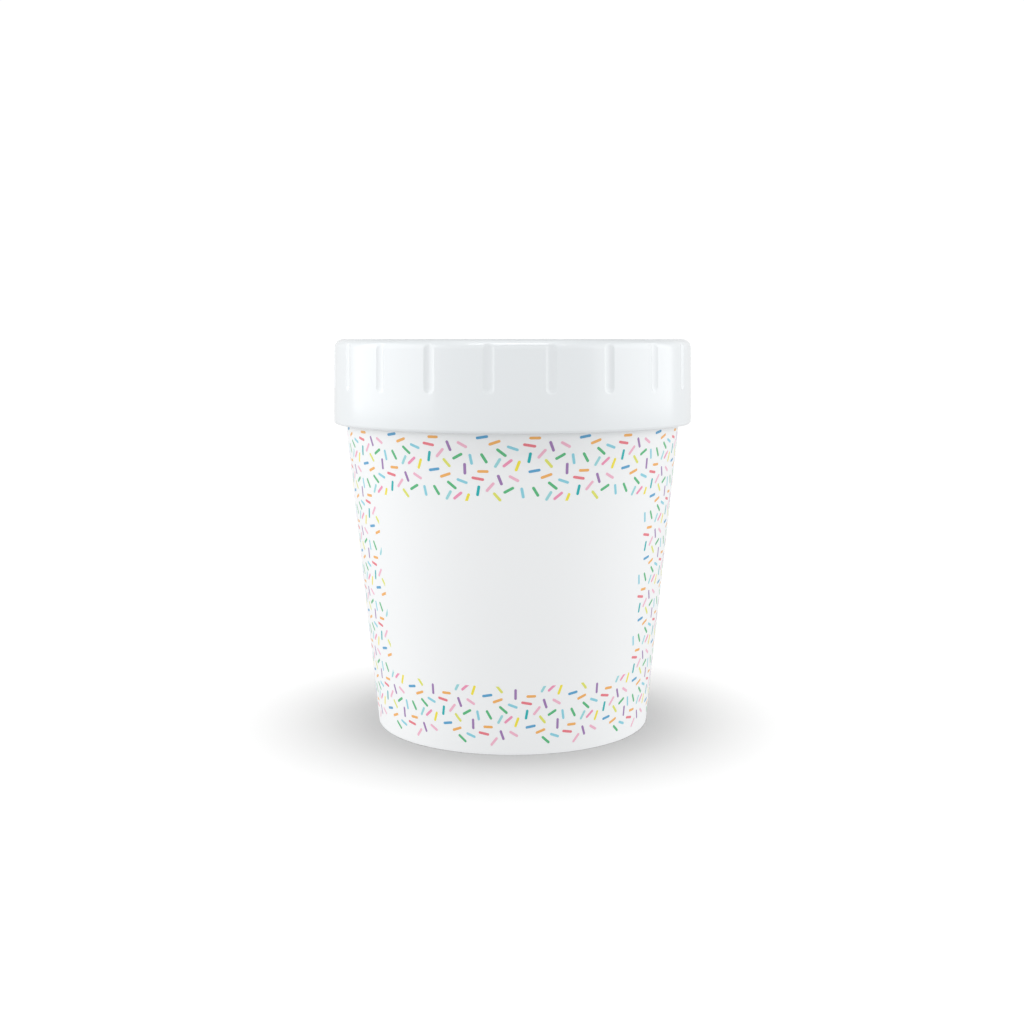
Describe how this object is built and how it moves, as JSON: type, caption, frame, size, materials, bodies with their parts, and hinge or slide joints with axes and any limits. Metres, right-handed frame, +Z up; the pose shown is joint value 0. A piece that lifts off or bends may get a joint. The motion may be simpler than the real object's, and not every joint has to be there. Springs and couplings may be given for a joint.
{
  "type": "ice cream tub",
  "caption": "Tapered round paperboard tub for ice cream, shut by a fluted plastic lid, with a printed wall of coloured sprinkles round a plain panel.",
  "frame": {"origin": "middle of the base, on the surface that the tub stands on", "axes": "+Z up along the tub's axis, the front with the plain panel facing -Y"},
  "size_m": [0.0966, 0.0966, 0.105],
  "materials": {
    "tub_board": "white coated board, satin",
    "lid_plastic": "white moulded, gloss",
    "ink_green": "printed",
    "ink_yellow": "printed",
    "ink_purple": "printed",
    "ink_lime": "printed",
    "ink_cyan": "printed",
    "ink_sky": "printed",
    "ink_teal": "printed",
    "ink_rose": "printed",
    "ink_pink": "printed",
    "ink_blue": "printed",
    "ink_coral": "printed",
    "ink_orange": "printed"
  },
  "bodies": {
    "root": {"tub": "tub_board", "lid": "lid_plastic"}
  },
  "joints": []
}
